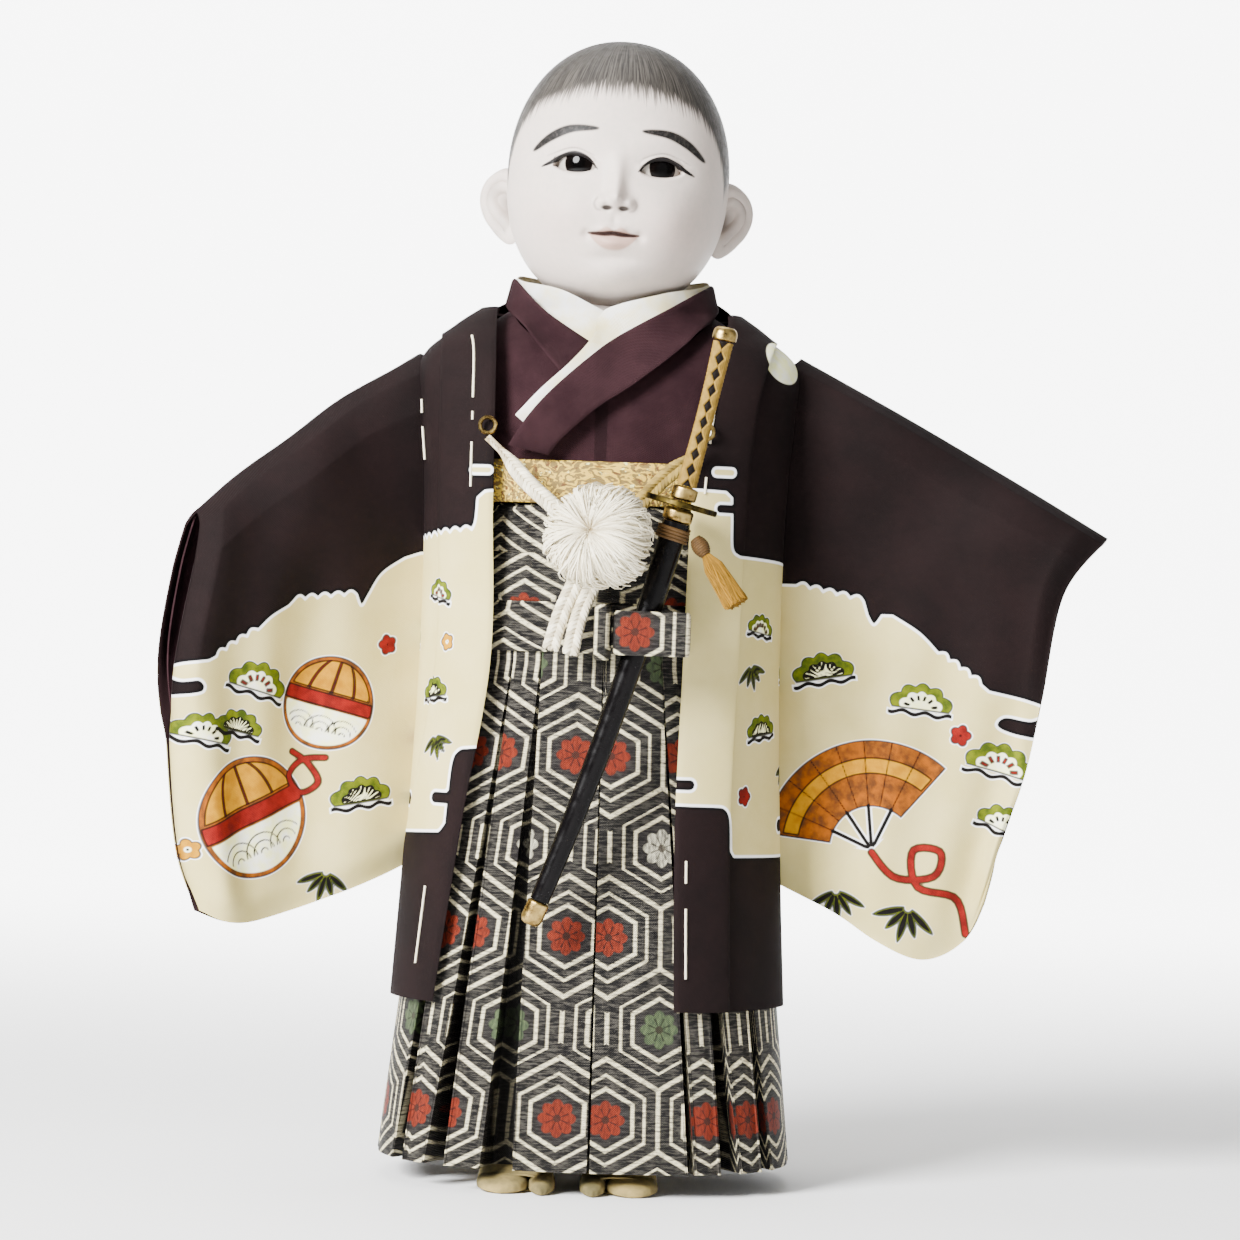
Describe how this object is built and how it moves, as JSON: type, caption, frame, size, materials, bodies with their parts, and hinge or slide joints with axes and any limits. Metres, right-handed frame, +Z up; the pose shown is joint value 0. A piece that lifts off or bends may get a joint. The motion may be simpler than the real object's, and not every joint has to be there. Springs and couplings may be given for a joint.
{
  "type": "ichimatsu doll",
  "caption": "Standing ichimatsu doll in a long-sleeved coat and pleated hakama, with a turning head, raising arms, a sword that draws and a swinging coat-tie pompom.",
  "frame": {"origin": "on the floor, under the middle of the doll's box with its spread sleeves, its hanging coat ties left out", "axes": "+Z up, front of the doll towards -Y, the doll's left towards +X"},
  "size_m": [0.3457, 0.1596, 0.4195],
  "materials": {
    "skin": "white shell-lime skin, polished",
    "eye_glass": "polished glass",
    "body_wood": "bare paulownia wood",
    "body_cloth": "stuffed cotton",
    "white_cloth": "white silk and cotton",
    "tabi_cloth": "cream cotton",
    "kimono_silk": "dark maroon silk crepe",
    "coat_silk": "dark maroon and cream silk with painted pine and plum",
    "gold_brocade": "gold brocade",
    "silver_brocade": "silver and black hexagon brocade",
    "cord_silk": "white silk braid",
    "lacquer": "black lacquer",
    "brass": "gilt",
    "steel": "polished",
    "ray_skin": "dark grained covering",
    "wrap_silk": "cream gold braid",
    "tassel_silk": "gold silk"
  },
  "bodies": {
    "torso": {"chest": "body_wood", "pelvis": "body_wood", "left_leg": "body_wood", "right_leg": "body_wood", "midriff": "body_cloth", "under_collar_left": "white_cloth", "under_collar_right": "white_cloth", "left_tabi_sole": "white_cloth", "right_tabi_sole": "white_cloth", "left_tabi": "tabi_cloth", "right_tabi": "tabi_cloth", "kimono_body": "kimono_silk", "kimono_collar_left": "kimono_silk", "kimono_collar_right": "kimono_silk", "coat_left_front": "coat_silk", "coat_right_front": "coat_silk", "coat_back": "coat_silk", "coat_left_collar": "coat_silk", "coat_right_collar": "coat_silk", "coat_neck_collar": "coat_silk", "obi": "gold_brocade", "hakama_front": "silver_brocade", "hakama_back": "silver_brocade", "hakama_waist_tie": "silver_brocade", "hakama_back_board": "silver_brocade", "hakama_bow": "silver_brocade", "hakama_knot": "silver_brocade", "scabbard": "lacquer", "scabbard_mouth": "brass", "scabbard_end_cap": "brass", "coat_left_hook": "brass", "coat_right_hook": "brass", "scabbard_cord": "tassel_silk"},
    "head": {"head": "skin", "left_eye": "eye_glass", "right_eye": "eye_glass"},
    "left_arm": {"left_upper_arm": "body_cloth", "left_forearm": "skin", "left_kimono_sleeve": "kimono_silk", "left_coat_sleeve": "coat_silk"},
    "right_arm": {"right_upper_arm": "body_cloth", "right_forearm": "skin", "right_kimono_sleeve": "kimono_silk", "right_coat_sleeve": "coat_silk"},
    "sword": {"sword_blade_collar": "brass", "sword_guard": "brass", "sword_ferrule": "brass", "sword_pommel": "brass", "sword_blade": "steel", "sword_handle": "ray_skin", "sword_handle_wrap": "wrap_silk"},
    "ties": {"tie_left_cord": "cord_silk", "tie_right_cord": "cord_silk", "tie_left_tail": "cord_silk", "tie_right_tail": "cord_silk", "tie_knot": "cord_silk", "tie_pompom": "cord_silk"},
    "tassel": {"tassel_knot": "tassel_silk", "tassel_skirt": "tassel_silk"}
  },
  "joints": [
    {"name": "head_turn", "type": "hinge", "parent": "torso", "child": "head", "pos_m": [-0.0136, 0.017, 0.3205], "axis": [0.0349, 0, 0.9994], "range_deg": [-18, 18]},
    {"name": "left_arm_raise", "type": "hinge", "parent": "torso", "child": "left_arm", "pos_m": [0.058, 0.017, 0.305], "axis": [-0.1392, -0.9903, 0], "range_deg": [0, 30]},
    {"name": "right_arm_raise", "type": "hinge", "parent": "torso", "child": "right_arm", "pos_m": [-0.083, 0.017, 0.302], "axis": [-0.4695, 0.8829, 0], "range_deg": [0, 30]},
    {"name": "sword_draw", "type": "hinge", "parent": "torso", "child": "sword", "pos_m": [-1.10134, -0.06785, 0.52536], "axis": [0, -0.9995, -0.0332], "range_deg": [0, 5.5]},
    {"name": "tie_swing", "type": "hinge", "parent": "torso", "child": "ties", "pos_m": [0, -0.03641, 0.2705], "axis": [-1, 0, 0], "range_deg": [0, 35]},
    {"name": "tassel_swing", "type": "hinge", "parent": "torso", "child": "tassel", "pos_m": [0.01984, -0.05823, 0.23554], "axis": [0, 1, 0], "range_deg": [-14, 22]}
  ]
}
